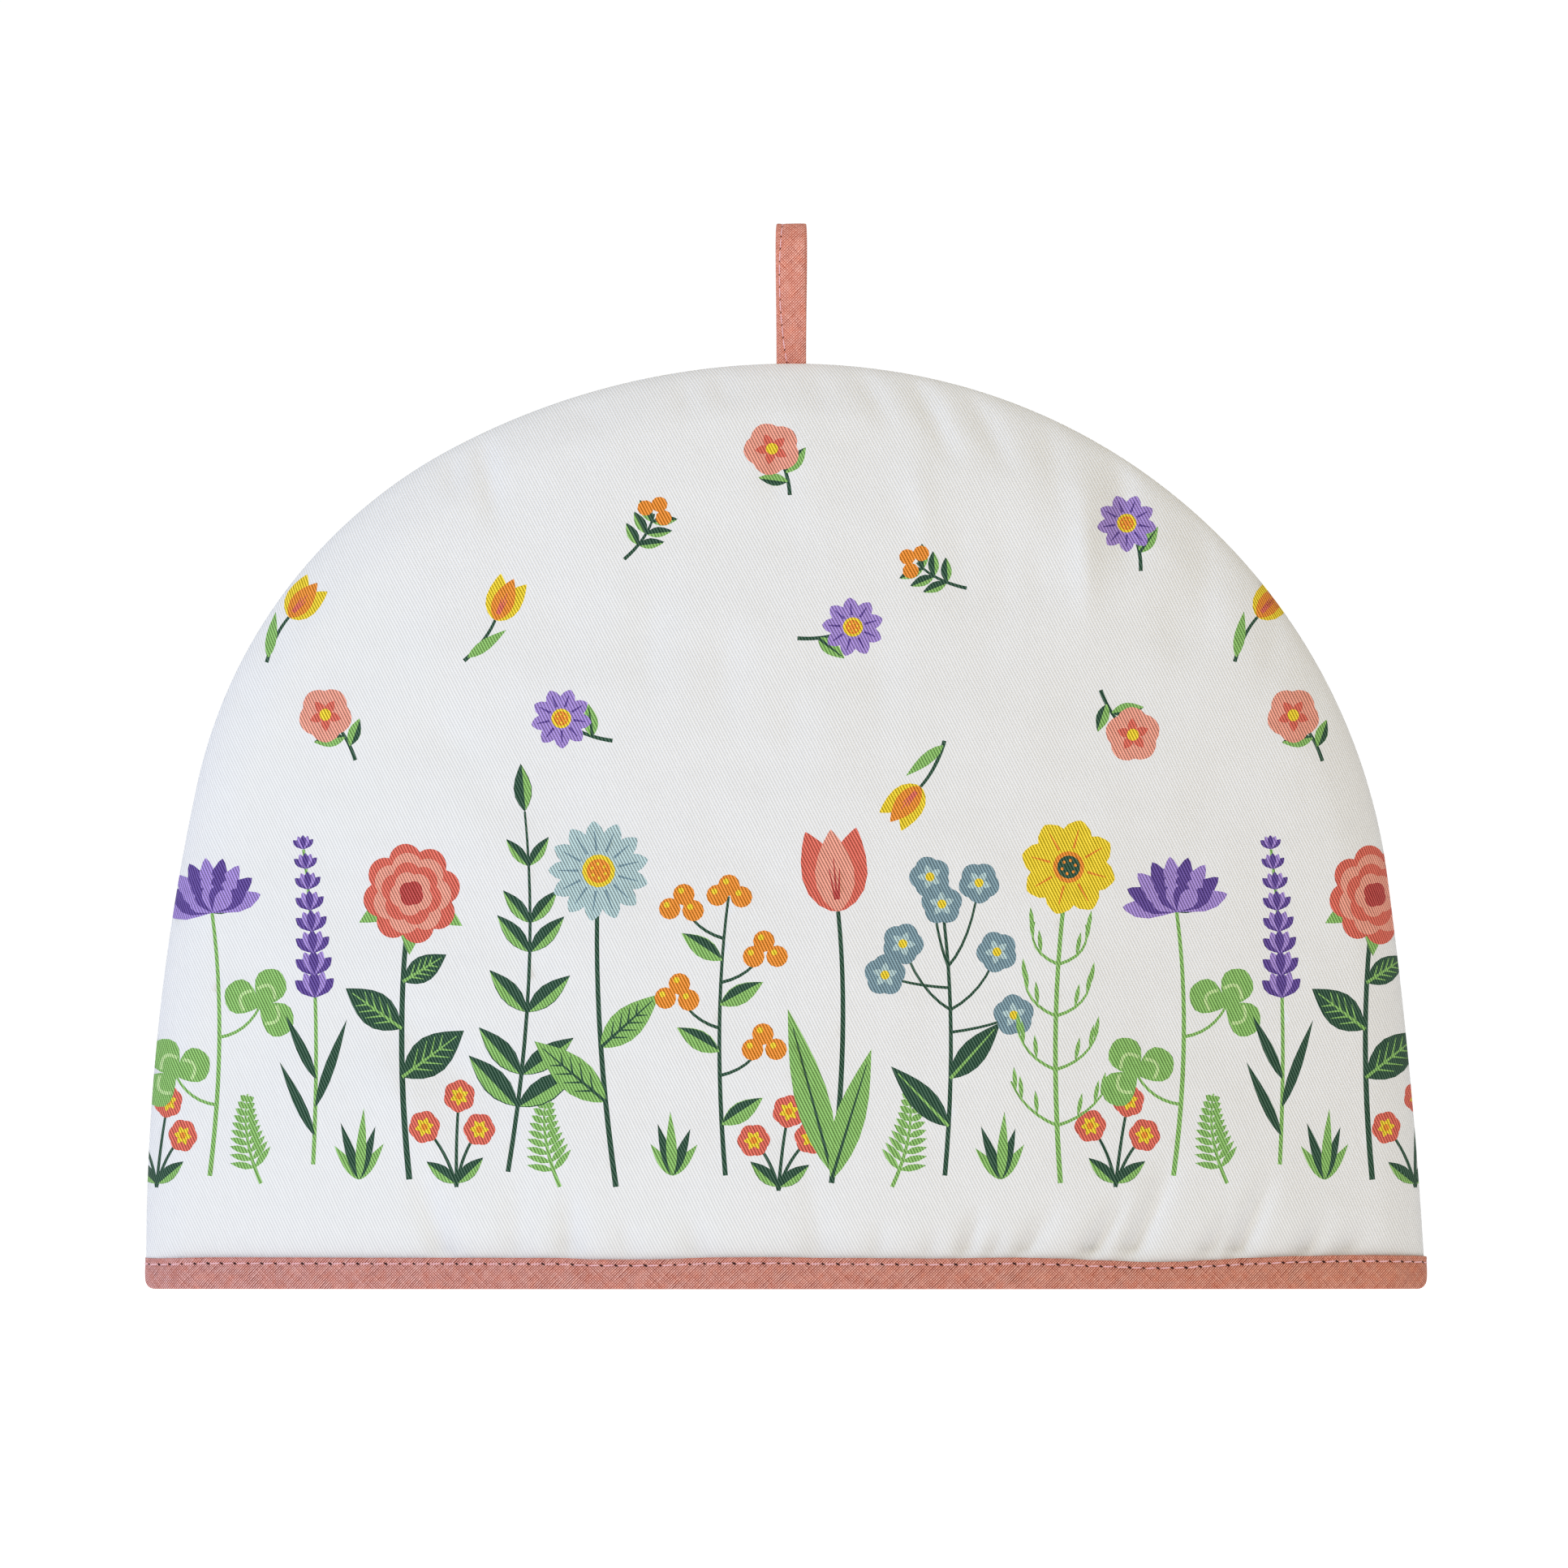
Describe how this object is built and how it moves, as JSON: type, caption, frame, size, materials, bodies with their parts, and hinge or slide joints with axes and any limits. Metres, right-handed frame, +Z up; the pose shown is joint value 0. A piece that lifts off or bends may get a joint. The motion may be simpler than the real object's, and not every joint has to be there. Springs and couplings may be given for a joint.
{
  "type": "domed tea cosy",
  "caption": "Padded domed cover that slips over a teapot to keep it warm, in floral cotton with a bound hem and a hanging loop at the top.",
  "frame": {"origin": "on the surface that the cosy stands on, under the middle of its hem", "axes": "+X to the right along the hem as seen from the front, +Y from the front panel to the back panel, +Z up to the hanging loop"},
  "size_m": [0.343, 0.1004, 0.2835],
  "materials": {
    "printed_cotton": "off-white cotton twill with a flat floral print, matt",
    "pink_tape": "dusty pink bias-cut plain weave, folded and topstitched, matt"
  },
  "bodies": {
    "root": {"front_panel": "printed_cotton", "back_panel": "printed_cotton", "hem_binding": "pink_tape", "hanging_loop": "pink_tape"}
  },
  "joints": []
}
